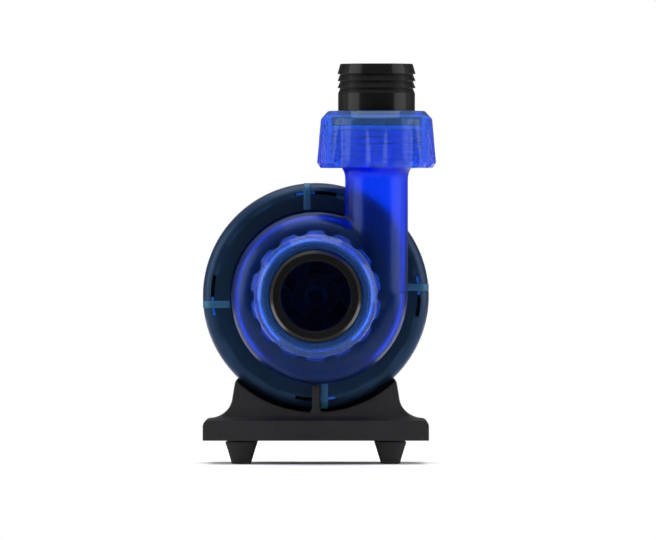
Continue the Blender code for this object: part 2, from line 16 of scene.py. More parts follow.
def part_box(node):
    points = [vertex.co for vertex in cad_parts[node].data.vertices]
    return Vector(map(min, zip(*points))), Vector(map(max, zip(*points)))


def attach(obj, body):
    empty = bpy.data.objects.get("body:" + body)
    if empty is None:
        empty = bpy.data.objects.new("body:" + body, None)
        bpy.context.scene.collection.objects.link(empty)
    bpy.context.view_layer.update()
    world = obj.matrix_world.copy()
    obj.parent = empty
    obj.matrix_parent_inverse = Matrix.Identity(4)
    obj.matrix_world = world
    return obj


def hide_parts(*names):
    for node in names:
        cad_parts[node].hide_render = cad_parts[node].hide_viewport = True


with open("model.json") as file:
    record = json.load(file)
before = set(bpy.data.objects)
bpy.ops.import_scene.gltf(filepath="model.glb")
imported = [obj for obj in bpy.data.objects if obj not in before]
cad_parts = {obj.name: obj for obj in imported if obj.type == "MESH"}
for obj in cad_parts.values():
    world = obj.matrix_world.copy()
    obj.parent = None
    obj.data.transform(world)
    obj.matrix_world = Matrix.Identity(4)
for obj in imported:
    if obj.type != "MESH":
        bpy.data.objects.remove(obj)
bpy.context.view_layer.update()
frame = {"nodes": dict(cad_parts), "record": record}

MM = 0.001

# ---------------------------------------------------------------- places, from the frame


def middle(node):
    low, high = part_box(node)
    return (low + high) / 2


HEAD_MIDDLE = middle("head_cover")
OUTLET_MIDDLE = middle("outlet_barb")
FLANGE_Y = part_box("motor_housing")[0].y
AXIS = Vector((HEAD_MIDDLE.x, FLANGE_Y, HEAD_MIDDLE.z))
OUTLET_FOOT = Vector((OUTLET_MIDDLE.x, OUTLET_MIDDLE.y, AXIS.z))
PUMP = Matrix.Translation(AXIS) @ Matrix.Rotation(math.radians(90), 4, "X")
OUTLET_AXES = Matrix.Translation(OUTLET_FOOT)

OUTLET_X = (OUTLET_FOOT.x - AXIS.x) / MM
OUTLET_DEPTH = (AXIS.y - OUTLET_FOOT.y) / MM
FLOOR = -AXIS.z / MM
PLATE_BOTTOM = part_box("base")[0].z / MM + FLOOR
PLATE_HALF_WIDTH = (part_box("base")[1].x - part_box("base")[0].x) / 2 / MM
PLATE_FRONT = (AXIS.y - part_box("base")[0].y) / MM
PLATE_BACK = (AXIS.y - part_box("base")[1].y) / MM
FOOT_X = (middle("foot_front_right").x - AXIS.x) / MM
REAR_END = (AXIS.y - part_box("gland_nut")[1].y) / MM

# Sizes shared with the design
WALL = 2.5
SCROLL_BACK, SCROLL_FRONT = 8.2, 34.0
SCROLL_SMALL, SCROLL_LARGE = 35.3, 38.6
SCROLL_ROUNDING = 9.8
NECK_RADIUS, NECK_BORE, BEAD_RADIUS = 35.1, 32.6, 36.5
TUBE_RADIUS, TUBE_BORE = 13.2, 10.7
COVER_RADIUS, COVER_OPENING, SKIRT_BORE = 47.6, 35.8, 45.1
COVER_BACK, COVER_LIP, COVER_FACE = -8.0, 3.0, 6.0
HOOK_HALF_ANGLE = 11.8
LUG_START, LUG_END = -11.8, -0.5
HOUSING_RADIUS, FIN_RADIUS, HOUSING_BORE, HOUSING_BACK = 42.2, 44.5, 37.6, -72.0
FIN_COUNT = 16
LOBES = 14
FIRST_LOBE = 180.0 / LOBES
QUARTERS = 4
BLADES = 6
PITCH = 3.0
THREAD_DEPTH = 1.0
SOCKET_DEPTHS = (4.0, -66.0)
REAR_SCREW_RADIUS = 40.1
SADDLE_CORNER = (34.0, -36.0)
CRADLE_RADIUS, HOUSING_SEAT_RADIUS = 48.9, 44.9
FLARE_END, FLARE_RADIUS = 45.6, 10.6
WINDOW_RADII = (42.7, 44.2)
KEY_RADII = (42.8, 44.1)


class UnionSize:
    """Sizes of one pipe union along its own axis."""

    def __init__(self, name, base, nut_radius, thread_radius, crest_radius, bore_radius):
        self.name = name
        self.base = base
        self.top = base + 23.9
        self.nut_radius = nut_radius
        self.thread_radius = thread_radius
        self.crest_radius = crest_radius
        self.bore_radius = bore_radius
        self.neck_radius = crest_radius - 0.25
        self.head_low = base + 2.7
        self.head_high = base + 15.9
        self.tip = self.top + 19.8


OUTLET = UnionSize("outlet", 53.8, 25.2, 19.9, 16.4, 12.5)
INLET = UnionSize("inlet", 38.5, 27.65, 22.6, 19.15, 14.5)

# ---------------------------------------------------------------- shapes


def polar(radius, degrees):
    return radius * math.cos(math.radians(degrees)), radius * math.sin(math.radians(degrees))


def arc(centre, radius, start, end, count):
    """Points of an arc, both ends included."""
    angles = [start + (end - start) * i / (count - 1) for i in range(count)]
    return [(centre[0] + polar(radius, a)[0], centre[1] + polar(radius, a)[1]) for a in angles]


def rounded(points, closed=True, count=6):
    """Rounds the corners of a profile. A point is (x, y) or (x, y, radius of its corner)."""
    done = []
    for i, point in enumerate(points):
        corner = Vector(point[:2])
        radius = point[2] if len(point) > 2 else 0.0
        if radius <= 0 or (not closed and i in (0, len(points) - 1)):
            done.append(tuple(corner))
            continue
        before = (Vector(points[i - 1][:2]) - corner)
        after = (Vector(points[(i + 1) % len(points)][:2]) - corner)
        half = before.angle(after) / 2
        if half > math.radians(88):
            done.append(tuple(corner))
            continue
        reach = min(radius / math.tan(half), before.length * 0.49, after.length * 0.49)
        radius = reach * math.tan(half)
        before.normalize()
        after.normalize()
        centre = corner + (before + after).normalized() * radius / math.sin(half)
        first = corner + before * reach - centre
        turn = first.angle_signed(corner + after * reach - centre)
        for k in range(count + 1):
            angle = -turn * k / count
            x = first.x * math.cos(angle) - first.y * math.sin(angle)
            y = first.x * math.sin(angle) + first.y * math.cos(angle)
            done.append((centre.x + x, centre.y + y))
    return done


def mesh_object(name, form, matrix=None, sharp=40.0):
    """Turns a bmesh in millimetres into a smooth-shaded object in the row's frame."""
    bmesh.ops.recalc_face_normals(form, faces=form.faces)
    bmesh.ops.scale(form, vec=(MM, MM, MM), verts=form.verts)
    if matrix is not None:
        bmesh.ops.transform(form, matrix=matrix, verts=form.verts)
    mesh = bpy.data.meshes.new(name)
    form.to_mesh(mesh)
    form.free()
    mesh.shade_smooth()
    mesh.set_sharp_from_angle(angle=math.radians(sharp))
    obj = bpy.data.objects.new(name, mesh)
    bpy.context.scene.collection.objects.link(obj)
    return obj


def skin_form(rows, wrap_columns=True, wrap_rows=True):
    """A bmesh skin over rows of points."""
    form = bmesh.new()
    grid = [[form.verts.new(point) for point in row] for row in rows]
    columns = len(grid[0]) if wrap_columns else len(grid[0]) - 1
    pairs = zip(grid, grid[1:] + grid[:1]) if wrap_rows else zip(grid, grid[1:])
    for row, following in pairs:
        for column in range(columns):
            after = (column + 1) % len(row)
            form.faces.new([row[column], row[after], following[after], following[column]])
    bmesh.ops.remove_doubles(form, verts=form.verts, dist=0.0005)
    return form


def turned_form(profile, steps=128):
    """A profile of (radius, height) turned about Z. Both its ends may lie on the axis."""
    closed = min(radius for radius, height in profile) > 0
    rows = [
        [(*polar(radius, 360.0 * i / steps), height) for i in range(steps)]
        for radius, height in profile
    ]
    return skin_form(rows, wrap_rows=closed)


def turned(name, profile, matrix, steps=128):
    return mesh_object(name, turned_form(profile, steps), matrix)


def prism_form(outline, low, high):
    form = bmesh.new()
    face = form.faces.new([form.verts.new((x, y, low)) for x, y in outline])
    grown = bmesh.ops.extrude_face_region(form, geom=[face])["geom"]
    moved = [item for item in grown if isinstance(item, bmesh.types.BMVert)]
    bmesh.ops.translate(form, verts=moved, vec=(0.0, 0.0, high - low))
    return form


def prism(name, outline, low, high, matrix, bevel=0.0):
    obj = mesh_object(name, prism_form(outline, low, high), matrix, 30.0)
    if bevel:
        add_bevel(obj, bevel)
    return obj


def sector(inner, outer, start, end, count=13):
    return arc((0, 0), outer, start, end, count) + arc((0, 0), inner, end, start, count)


def add_bevel(obj, width, segments=3):
    bevel = obj.modifiers.new("Edges", "BEVEL")
    bevel.width = width * MM
    bevel.segments = segments
    bevel.limit_method = "ANGLE"
    bevel.angle_limit = math.radians(35)
    bevel.harden_normals = False
    applied(obj)
    obj.data.shade_smooth()
    obj.data.set_sharp_from_angle(angle=math.radians(40))


def applied(obj):
    """Applies all of an object's modifiers."""
    graph = bpy.context.evaluated_depsgraph_get()
    mesh = bpy.data.meshes.new_from_object(obj.evaluated_get(graph))
    old = obj.data
    obj.modifiers.clear()
    obj.data = mesh
    bpy.data.meshes.remove(old)
    return obj


def boolean(obj, other, operation, sharp=40.0):
    change = obj.modifiers.new("Boolean", "BOOLEAN")
    change.operation = operation
    change.solver = "EXACT"
    change.object = other
    applied(obj)
    bpy.data.objects.remove(other, do_unlink=True)
    obj.data.shade_smooth()
    obj.data.set_sharp_from_angle(angle=math.radians(sharp))
    return obj


def even_normals(obj):
    """Keeps large flat faces flat beside their rounded edges."""
    change = obj.modifiers.new("Normals", "WEIGHTED_NORMAL")
    change.keep_sharp = True
    change.weight = 60
    return obj


def fused(name, forms, matrices, voxel, rounds):
    """Melts overlapping solids into one body with soft inner and outer corners."""
    whole = bmesh.new()
    for form, matrix in zip(forms, matrices):
        bmesh.ops.recalc_face_normals(form, faces=form.faces)
        if matrix is not None:
            bmesh.ops.transform(form, matrix=matrix, verts=form.verts)
        piece = bpy.data.meshes.new("piece")
        form.to_mesh(piece)
        form.free()
        whole.from_mesh(piece)
        bpy.data.meshes.remove(piece)
    obj = mesh_object(name, whole)
    remesh = obj.modifiers.new("Melt", "REMESH")
    remesh.mode = "VOXEL"
    remesh.voxel_size = voxel * MM
    remesh.use_smooth_shade = True
    smooth = obj.modifiers.new("Soften", "SMOOTH")
    smooth.factor = 0.5
    smooth.iterations = rounds
    applied(obj)
    obj.data.transform(PUMP)
    return obj


# Outlet axes seen from the pump axes: up the outlet is Y there.
OUTLET_IN_PUMP = Matrix.Translation((OUTLET_X, 0.0, OUTLET_DEPTH)) @ Matrix.Rotation(
    math.radians(-90), 4, "X"
)


# ---------------------------------------------------------------- materials


def node_material(name):
    made = bpy.data.materials.new(name)
    made.use_nodes = True
    return made, made.node_tree, made.node_tree.nodes["Principled BSDF"]


def add_noise(tree, scale, detail=3.0, stretch=None):
    """A noise texture in the row's own coordinates, in metres."""
    place = tree.nodes.new("ShaderNodeTexCoord")
    noise = tree.nodes.new("ShaderNodeTexNoise")
    noise.inputs["Scale"].default_value = scale
    noise.inputs["Detail"].default_value = detail
    source = place.outputs["Object"]
    if stretch:
        mapping = tree.nodes.new("ShaderNodeMapping")
        mapping.inputs["Scale"].default_value = stretch
        tree.links.new(source, mapping.inputs["Vector"])
        source = mapping.outputs["Vector"]
    tree.links.new(source, noise.inputs["Vector"])
    return noise.outputs["Fac"]


def add_range(tree, source, low, high):
    ranged = tree.nodes.new("ShaderNodeMapRange")
    ranged.inputs["From Min"].default_value = 0.3
    ranged.inputs["From Max"].default_value = 0.7
    ranged.inputs["To Min"].default_value = low
    ranged.inputs["To Max"].default_value = high
    tree.links.new(source, ranged.inputs["Value"])
    return ranged.outputs["Result"]


def add_ramp(tree, source, dark, light):
    ramp = tree.nodes.new("ShaderNodeValToRGB")
    ramp.color_ramp.elements[0].position = 0.3
    ramp.color_ramp.elements[1].position = 0.7
    ramp.color_ramp.elements[0].color = (*dark, 1.0)
    ramp.color_ramp.elements[1].color = (*light, 1.0)
    tree.links.new(source, ramp.inputs["Fac"])
    return ramp.outputs["Color"]


def add_bump(tree, shader, source, strength, distance):
    bump = tree.nodes.new("ShaderNodeBump")
    bump.inputs["Strength"].default_value = strength
    bump.inputs["Distance"].default_value = distance
    tree.links.new(source, bump.inputs["Height"])
    tree.links.new(bump.outputs["Normal"], shader.inputs["Normal"])


def moulded(name, dark, light, rough, grain=2500.0, depth=0.00001, metallic=0.0, strength=0.25):
    """Opaque moulded or machined stuff: mottled colour, uneven gloss and a fine grain."""
    made, tree, shader = node_material(name)
    broad = add_noise(tree, 60.0)
    fine = add_noise(tree, grain, 2.0)
    tree.links.new(add_ramp(tree, broad, dark, light), shader.inputs["Base Color"])
    tree.links.new(add_range(tree, broad, rough - 0.05, rough + 0.06), shader.inputs["Roughness"])
    shader.inputs["Metallic"].default_value = metallic
    add_bump(tree, shader, fine, strength, depth)
    return made


SHEEN_BLUE = (0.22, 0.52, 1.0)


def tinted(name, dark, light, clear, rough, ior, depth_colour, density, coat):
    """Tinted see-through plastic: deeper in colour where it is thick, with faint flow marks."""
    made, tree, shader = node_material(name)
    flow = add_noise(tree, 45.0, 2.0, (1.0, 1.0, 0.35))
    tree.links.new(add_ramp(tree, flow, dark, light), shader.inputs["Base Color"])
    tree.links.new(add_range(tree, flow, rough, rough + 0.04), shader.inputs["Roughness"])
    shader.inputs["Transmission Weight"].default_value = clear
    shader.inputs["IOR"].default_value = ior
    shader.inputs["Coat Weight"].default_value = coat
    shader.inputs["Coat Roughness"].default_value = 0.05
    shader.inputs["Coat IOR"].default_value = 1.5
    shader.inputs["Specular Tint"].default_value = (*SHEEN_BLUE, 1.0)
    depth = tree.nodes.new("ShaderNodeVolumeAbsorption")
    depth.inputs["Color"].default_value = (*depth_colour, 1.0)
    depth.inputs["Density"].default_value = density
    tree.links.new(depth.outputs["Volume"], tree.nodes["Material Output"].inputs["Volume"])
    return made


GREY = moulded("grey_plastic", (0.0085, 0.0080, 0.0088), (0.0125, 0.0120, 0.0128), 0.55)
BLACK = moulded("black_plastic", (0.0070, 0.0070, 0.0080), (0.0100, 0.0100, 0.0110), 0.6,
               depth=0.000002)
BARB_BLACK = moulded("black_gloss_plastic", (0.0024, 0.0022, 0.0025), (0.0036, 0.0034, 0.0038), 0.4)
# Impeller plastic: a darker copy of the black plastic, painted shade so the deep bore of the volute
# reads black.
SHADED_INNER_BLACK = moulded("inner_black_painted_shade", (0.0015, 0.0015, 0.0018), (0.0025, 0.0025, 0.0028), 0.6)
RUBBER = moulded("rubber", (0.0075, 0.0075, 0.0080), (0.0110, 0.0110, 0.0115), 0.72, 1800.0)
STEEL = moulded("steel", (0.55, 0.55, 0.57), (0.66, 0.66, 0.68), 0.28, 900.0, 0.00001, 1.0)
COPPER = moulded("copper", (0.55, 0.20, 0.07), (0.72, 0.30, 0.12), 0.35, 1500.0, 0.00008, 1.0)
CORE = moulded("lamination", (0.30, 0.31, 0.33), (0.38, 0.39, 0.41), 0.45, 1200.0, 0.00006, 1.0)
FERRITE = moulded("ferrite", (0.04, 0.04, 0.045), (0.06, 0.06, 0.065), 0.55)
CERAMIC = moulded("ceramic", (0.78, 0.77, 0.73), (0.86, 0.85, 0.82), 0.2)
BOARD = moulded("board", (0.02, 0.13, 0.05), (0.03, 0.19, 0.08), 0.45)
BLUE = tinted("blue_plastic", (0.06, 0.36, 0.98), (0.09, 0.42, 1.0), 0.985, 0.28, 1.24,
              (0.08, 0.42, 0.97), 480.0, 0.12)
NUT_BLUE = tinted("nut_blue_plastic", (0.20, 0.56, 0.98), (0.25, 0.62, 1.0), 0.94, 0.06, 1.20,
                  (0.10, 0.52, 0.97), 380.0, 0.2)
# Hooks and keys: a mostly opaque, saturated blue copy of the navy ring plastic; its brightness is
# painted backlight standing in for light coming through the ring.
BACKLIT_HOOK_BLUE = tinted("hook_painted_backlight_blue", (0.018, 0.105, 0.50), (0.024, 0.130, 0.58), 0.10, 0.30,
                   1.30, (0.12, 0.36, 0.95), 400.0, 0.1)
NAVY = tinted("navy_plastic", (0.030, 0.074, 0.155), (0.038, 0.092, 0.185), 0.86, 0.29, 1.27,
              (0.10, 0.30, 0.62), 240.0, 0.06)
TEAL = tinted("teal_plastic", (0.022, 0.090, 0.165), (0.030, 0.115, 0.205), 0.30, 0.30, 1.30,
              (0.10, 0.40, 0.60), 300.0, 0.1)
# Gaskets: translucent cyan, a painted highlight standing in for the glint under the outlet nut's
# flange.
GASKET_PAINTED_HIGHLIGHT = tinted("silicone", (0.16, 0.62, 0.82), (0.20, 0.68, 0.88), 0.45, 0.30, 1.30,
                  (0.20, 0.70, 0.85), 120.0, 0.2)
for dull, level in ((BLACK, 0.15), (BARB_BLACK, 0.06), (GREY, 0.25), (RUBBER, 0.3),
                    (SHADED_INNER_BLACK, 0.15)):
    dull.node_tree.nodes["Principled BSDF"].inputs["Specular IOR Level"].default_value = level
BARB_SOCKETS = BARB_BLACK.node_tree.nodes["Principled BSDF"].inputs
BARB_SOCKETS["Coat Weight"].default_value = 0.18
BARB_SOCKETS["Coat Roughness"].default_value = 0.12


def finish(obj, body, look, slot, *nodes):
    """Gives a piece its look, its body and the CAD nodes that it stands for."""
    obj.data.materials.clear()
    obj.data.materials.append(look)
    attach(obj, body)
    if nodes:
        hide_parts(*nodes)
    return obj


# ---------------------------------------------------------------- base and feet


def make_base():
    half, top = PLATE_HALF_WIDTH, PLATE_BOTTOM + 8.8
    corner = arc((half - 2.5, top - 2.5), 2.5, 90, 0, 5)
    right = corner + [(half, PLATE_BOTTOM)]
    plate = prism_form(right + [(-x, y) for x, y in reversed(right)], PLATE_BACK, PLATE_FRONT)
    cradle_end = math.degrees(math.atan2(-SADDLE_CORNER[1], SADDLE_CORNER[0]))
    cradle = arc((0, 0), CRADLE_RADIUS, 180 + cradle_end, 360 - cradle_end, 33)
    foot = arc((FLARE_END, top + FLARE_RADIUS), FLARE_RADIUS, 183, 270, 12)
    flare = [SADDLE_CORNER] + foot + [(FLARE_END, top - 2)]
    saddle = cradle + flare + [(-x, y) for x, y in reversed(flare)]
    front_saddle = prism_form(saddle, -9.2, 7.9)
    seat = arc((0, 0), HOUSING_SEAT_RADIUS, 180 + cradle_end, 360 - cradle_end, 33)
    rear_saddle = prism_form(seat + flare + [(-x, y) for x, y in reversed(flare)], -70.0, -9.0)
    rib = prism_form([(-1.65, -51.0), (1.65, -51.0), (1.65, -37.4), (-1.65, -37.4)], 6.4, 7.9)
    forms = [plate, front_saddle, rear_saddle, rib]
    base = fused("pump_base", forms, [None] * 4, 0.7, 3)
    for side in (-1, 1):
        for depth in reversed(SOCKET_DEPTHS):
            socket = turned_form([(0, -56.3), (2.8, -56.3), (2.8, -64.0), (0, -64.0)], 48)
            cutter = mesh_object("socket", socket, None)
            spot = Matrix.Translation(Vector((side * FOOT_X, 0, depth)) * MM)
            cutter.data.transform(PUMP @ spot @ Matrix.Rotation(math.radians(-90), 4, "X"))
            boolean(base, cutter, "DIFFERENCE")
    finish(base, "motor", GREY, "grey_plastic", "base")


def make_feet():
    top = PLATE_BOTTOM - 0.3
    profile = rounded([
        (0, FLOOR), (4.0, FLOOR, 0.6), (6.85, top, 0.5), (2.5, top, 0.2), (2.5, -57.0, 0.5),
        (0, -57.0)], closed=False)
    for place in ("front", "rear"):
        for side in ("left", "right"):
            node = f"foot_{place}_{side}"
            spot = middle(node)
            matrix = Matrix.Translation((spot.x, spot.y, AXIS.z))
            foot = even_normals(turned("rubber_" + node, profile, matrix, 64))
            finish(foot, "motor", RUBBER, "rubber", node)


# ---------------------------------------------------------------- motor


def fin_radius(angle, crest):
    """Radius of the housing at an angle: its own, or the crest's where a rounded fin stands."""
    phase = ((angle - 90.0) / 360.0 * FIN_COUNT + 0.34) % 1.0
    rise = min(max((0.27 - abs(phase - 0.24)) / 0.07, 0.0), 1.0)
    eased = rise * rise * (3 - 2 * rise)
    return HOUSING_RADIUS + (crest - HOUSING_RADIUS) * eased


def make_housing():
    steps = FIN_COUNT * 20
    rows = []

    def ring(height, crest):
        angles = [360.0 * i / steps for i in range(steps)]
        rows.append([(*polar(fin_radius(a, crest), a), height) for a in angles])

    def plain(height, radius):
        rows.append([(*polar(radius, 360.0 * i / steps), height) for i in range(steps)])

    plain(0.0, HOUSING_RADIUS - 0.5)
    plain(-0.15, HOUSING_RADIUS - 0.15)
    plain(-0.5, HOUSING_RADIUS)
    plain(-9.6, HOUSING_RADIUS)
    for k in range(7):
        share = math.sin(math.pi / 2 * k / 6)
        ring(-10.0 - 2.2 * k / 6, HOUSING_RADIUS + (FIN_RADIUS - HOUSING_RADIUS) * share)
    ring(-40.0, FIN_RADIUS)
    for k in range(7):
        share = math.cos(math.pi / 2 * k / 6)
        ring(-66.8 - 2.8 * k / 6, HOUSING_RADIUS + (FIN_RADIUS - HOUSING_RADIUS) * share)
    plain(-71.5, HOUSING_RADIUS)
    plain(HOUSING_BACK, HOUSING_RADIUS - 0.5)
    plain(HOUSING_BACK, HOUSING_BORE + 0.3)
    plain(HOUSING_BACK + 0.3, HOUSING_BORE)
    plain(-9, HOUSING_BORE)
    plain(-7, 33.0)
    plain(-2.3, 33.0)
    plain(-2.3, 37.1)
    plain(-0.3, 37.1)
    plain(0.0, 37.4)
    shell = mesh_object("finned_housing", skin_form(rows), PUMP)
    finish(even_normals(shell), "motor", BLACK, "black_plastic", "motor_housing")
    for k in range(QUARTERS):
        outline = sector(41.0, 44.8, 90 * k + LUG_START, 90 * k + LUG_END)
        lug = prism(f"housing_lug_{k + 1}", outline, -3.5, -0.2, PUMP, 0.35)
        finish(lug, "motor", BLACK, "black_plastic")


def make_rear():
    profile = rounded([
        (6.2, -72.3), (33.6, -72.3, 0.3), (33.6, -66.0, 0.5), (36.3, -66.0, 0.5),
        (36.3, -72.3, 0.3), (42.2, -72.3, 0.4), (42.2, -75.2, 0.8), (38.6, -76.2, 1.2),
        (36.6, -79.0, 1.6), (33.6, -80.0, 1.2), (26.0, -80.0, 0.5), (25.4, -79.3, 0.5),
        (24.0, -79.3, 0.5), (23.4, -80.0, 0.5), (12.0, -80.0, 0.4), (12.0, -78.0, 0.4),
        (6.2, -78.0, 0.3)])
    cover = even_normals(turned("rear_cap", profile, PUMP, 144))
    for k in range(4):
        spot = polar(REAR_SCREW_RADIUS, 45.0 + 90.0 * k)
        seat = mesh_object("seat", turned_form(
            [(0, -90.0), (3.4, -90.0), (3.4, -75.0), (0, -75.0)], 40))
        seat.data.transform(PUMP @ Matrix.Translation((spot[0] * MM, spot[1] * MM, 0)))
        boolean(cover, seat, "DIFFERENCE")
    finish(cover, "motor", BLACK, "black_plastic", "rear_cover")
    for k in range(4):
        spot = polar(REAR_SCREW_RADIUS, 45.0 + 90.0 * k)
        head = rounded([
            (0, -77.2), (1.1, -77.2, 0.1), (1.25, -77.95, 0.1), (2.6, -77.9, 0.35),
            (2.9, -77.2, 0.3), (2.9, -75.4, 0.15), (1.35, -75.4), (1.35, -63.5, 0.3),
            (0, -63.5)], closed=False)
        form = turned_form(head, 48)
        screw = mesh_object(f"rear_cap_screw_{k + 1}", form,
                            PUMP @ Matrix.Translation((spot[0] * MM, spot[1] * MM, 0)))
        finish(screw, "motor", STEEL, "steel", f"rear_screw_{k + 1}")
    make_gland()


def fluted_rows(profile, flutes, depth, steps):
    """Rows of a turned form whose widest stretch is cut with flutes."""
    widest = max(radius for radius, height in profile)
    rows = []
    for radius, height in profile:
        share = min(max((radius - widest + 1.2) / 1.2, 0.0), 1.0)
        row = []
        for i in range(steps):
            wave = abs(math.sin(math.pi * flutes * i / steps)) ** 0.6
            row.append((*polar(radius - depth * share * (1 - wave), 360.0 * i / steps), height))
        rows.append(row)
    return rows


def make_gland():
    body = rounded([
        (3.4, -68.0, 0.3), (5.8, -68.0, 0.4), (5.8, -78.3), (9.2, -78.3, 0.5), (9.2, -81.5, 0.5),
        (6.4, -81.5), (6.4, -90.0, 0.4), (3.4, -90.0, 0.3)])
    gland = even_normals(turned("cord_gland_body", body, PUMP, 72))
    finish(gland, "motor", BLACK, "black_plastic", "gland_body")
    nut = rounded([
        (6.8, -82.0, 0.3), (9.0, -82.0, 0.5), (9.0, -92.3, 1.5), (7.6, -96.0, 2.0),
        (6.4, REAR_END, 0.8), (3.9, REAR_END, 0.5), (3.9, -95.4, 0.3), (5.4, -95.0),
        (6.8, -90.0)])
    dome = mesh_object("cord_gland_nut", skin_form(fluted_rows(nut, 12, 0.5, 144)), PUMP)
    finish(even_normals(dome), "motor", BLACK, "black_plastic", "gland_nut")


# ---------------------------------------------------------------- head cover


def make_head_cover():
    profile = rounded([
        (COVER_OPENING, COVER_LIP, 0.3), (COVER_OPENING, COVER_FACE, 0.5),
        (COVER_RADIUS, COVER_FACE, 5.2), (COVER_RADIUS, COVER_BACK, 0.6),
        (SKIRT_BORE, COVER_BACK, 0.4), (SKIRT_BORE, COVER_LIP, 0.8)], count=9)
    cover = turned("bayonet_ring", profile, PUMP, 180)
    for k in range(QUARTERS):
        turn = 90.0 * k
        window = sector(*WINDOW_RADII, turn - HOOK_HALF_ANGLE + 0.3, turn + HOOK_HALF_ANGLE - 0.3)
        boolean(cover, mesh_object("window", prism_form(window, 1.0, 9.0), PUMP), "DIFFERENCE")
    finish(even_normals(cover), "head", NAVY, "navy_plastic", "head_cover")
    for k in range(QUARTERS):
        turn = 90.0 * k
        outline = sector(42.5, 45.2, turn - HOOK_HALF_ANGLE, turn + HOOK_HALF_ANGLE)
        hook = prism(f"bayonet_hook_{k + 1}", outline, -7.0, -3.8, PUMP, 0.3)
        # The hook's bright blue is painted backlight.
        finish(hook, "head", BACKLIT_HOOK_BLUE, "navy_plastic")
        outline = sector(*KEY_RADII, turn + 0.6, turn + HOOK_HALF_ANGLE - 0.6)
        key = prism(f"bayonet_key_{k + 1}", outline, 0.4, 5.3, PUMP, 0.2)
        # The key's bright blue is painted backlight.
        finish(key, "head", BACKLIT_HOOK_BLUE, "navy_plastic")
        make_head_rib(k)


def make_head_rib(k):
    """One raised rib that follows the ring's flat face and rounded shoulder."""
    half, middle_y = 1.5, 3.6
    path = [(36.3, COVER_FACE + 0.15), (43.2, COVER_FACE + 0.15)]
    path += arc((43.4, 1.8), 4.35, 88, 14, 10)
    rows = []
    for r, z in path:
        low = (r - 0.9, z - 0.9)
        rows.append([(r, middle_y - half, z), (r, middle_y + half, z),
                     (low[0], middle_y + half, low[1]), (low[0], middle_y - half, low[1])])
    form = skin_form(rows, wrap_rows=False)
    form.verts.ensure_lookup_table()
    form.faces.new(form.verts[:4])
    form.faces.new(form.verts[-4:])
    spin = Matrix.Rotation(math.radians(90.0 * k), 4, "Z")
    rib = mesh_object(f"ring_rib_{k + 1}", form, PUMP @ spin, 30.0)
    add_bevel(rib, 0.3)
    finish(rib, "head", TEAL, "navy_plastic")


# ---------------------------------------------------------------- volute


def scroll_radius(angle):
    grown = min(max((angle - 170.0) / 190.0, 0.0), 1.0)
    return SCROLL_SMALL + (SCROLL_LARGE - SCROLL_SMALL) * grown


def scroll_form(inset):
    front, back = SCROLL_FRONT - inset, SCROLL_BACK + inset
    rounding = SCROLL_ROUNDING - inset
    steps = 180
    rows = []
    for angle in [360.0 * i / steps + 40.0 for i in range(steps)]:
        radius = scroll_radius(angle if angle <= 362.0 else 170.0) - inset
        side = [(0, front)] + arc((radius - rounding, front - rounding), rounding, 90, 0, 10)
        side += [(radius, back + 0.6), (radius - 0.6, back), (0, back)]
        rows.append([(*polar(r, angle), z) for r, z in side])
    return skin_form(rows, wrap_columns=False)


def tube_profile(radius, top):
    dome = [(r, z * 1.4) for r, z in arc((0, 0), radius, -90, 0, 12)]
    return [(0, dome[0][1])] + dome[1:] + [(radius, top), (0, top)]


def spigot_profile(size, root_radius, start):
    low = size.head_low
    flare = [(root_radius, low - 6.5), (root_radius + 0.5, low - 4.2),
             (root_radius + 2.0, low - 1.8), (size.thread_radius - 1.6, low - 0.1),
             (size.thread_radius - 1.2, low + 1.4)]
    return [(0, start), (root_radius, start)] + flare + [(0, low + 1.4)]


def thread_wave(height, angle, pitch):
    """0 in a thread's root and 1 on its crest, with rounded flanks."""
    phase = (height / pitch - angle / 360.0) % 1.0
    share = min(max((0.36 - abs(phase - 0.5)) / 0.26, 0.0), 1.0)
    return share * share * (3 - 2 * share)


def thread_head_form(size):
    """The threaded end of a spigot, solid: its bore is cut later."""
    steps, rows = 120, []
    low, high = size.head_low + 0.2, size.head_high
    count = int((high - low) / 0.22)
    rows.append([(0, 0, low)] * steps)
    for k in range(count + 1):
        height = low + (high - low) * k / count
        fade = min((height - low) / 0.8, (high - height) / 1.2, 1.0)
        row = []
        for i in range(steps):
            angle = 360.0 * i / steps
            crest = thread_wave(height - size.head_high, angle, PITCH)
            radius = size.thread_radius - THREAD_DEPTH + THREAD_DEPTH * crest * max(fade, 0.0)
            row.append((*polar(radius, angle), height))
        rows.append(row)
    rows.append([(0, 0, high)] * steps)
    return skin_form(rows, wrap_rows=False)


def make_volute():
    neck = [(0, 0.5), (BEAD_RADIUS - 0.8, 0.5), (BEAD_RADIUS, 1.2), (BEAD_RADIUS, 2.6),
            (NECK_RADIUS, 2.7), (NECK_RADIUS, 10.0), (0, 10.0)]
    body = [scroll_form(0.0), turned_form(tube_profile(TUBE_RADIUS, 52.0)),
            turned_form(spigot_profile(OUTLET, TUBE_RADIUS, 40.0)), turned_form(neck),
            turned_form(spigot_profile(INLET, 17.5, 30.0))]
    places = [None, OUTLET_IN_PUMP, OUTLET_IN_PUMP, None, None]
    volute = fused("volute_casing", body, places, 0.65, 5)
    boolean(volute, mesh_object("outlet_head", thread_head_form(OUTLET), OUTLET_AXES), "UNION")
    boolean(volute, mesh_object("inlet_head", thread_head_form(INLET), PUMP), "UNION")
    bore = [(0, -3), (NECK_BORE, -3), (NECK_BORE, 12), (0, 12)]
    eye = [(0, 25), (INLET.bore_radius, 25), (INLET.bore_radius, 80), (0, 80)]
    space = [scroll_form(WALL), turned_form(tube_profile(TUBE_BORE, 90.0)), turned_form(bore),
             turned_form(eye)]
    cavity = fused("cavity", space, [None, OUTLET_IN_PUMP, None, None], 0.8, 4)
    boolean(volute, cavity, "DIFFERENCE")
    finish(volute, "volute", BLUE, "blue_plastic", "volute")


# ---------------------------------------------------------------- unions


def soft_min(a, b, width):
    overlap = max(width - abs(a - b), 0.0) / width
    return min(a, b) - overlap * overlap * width / 4


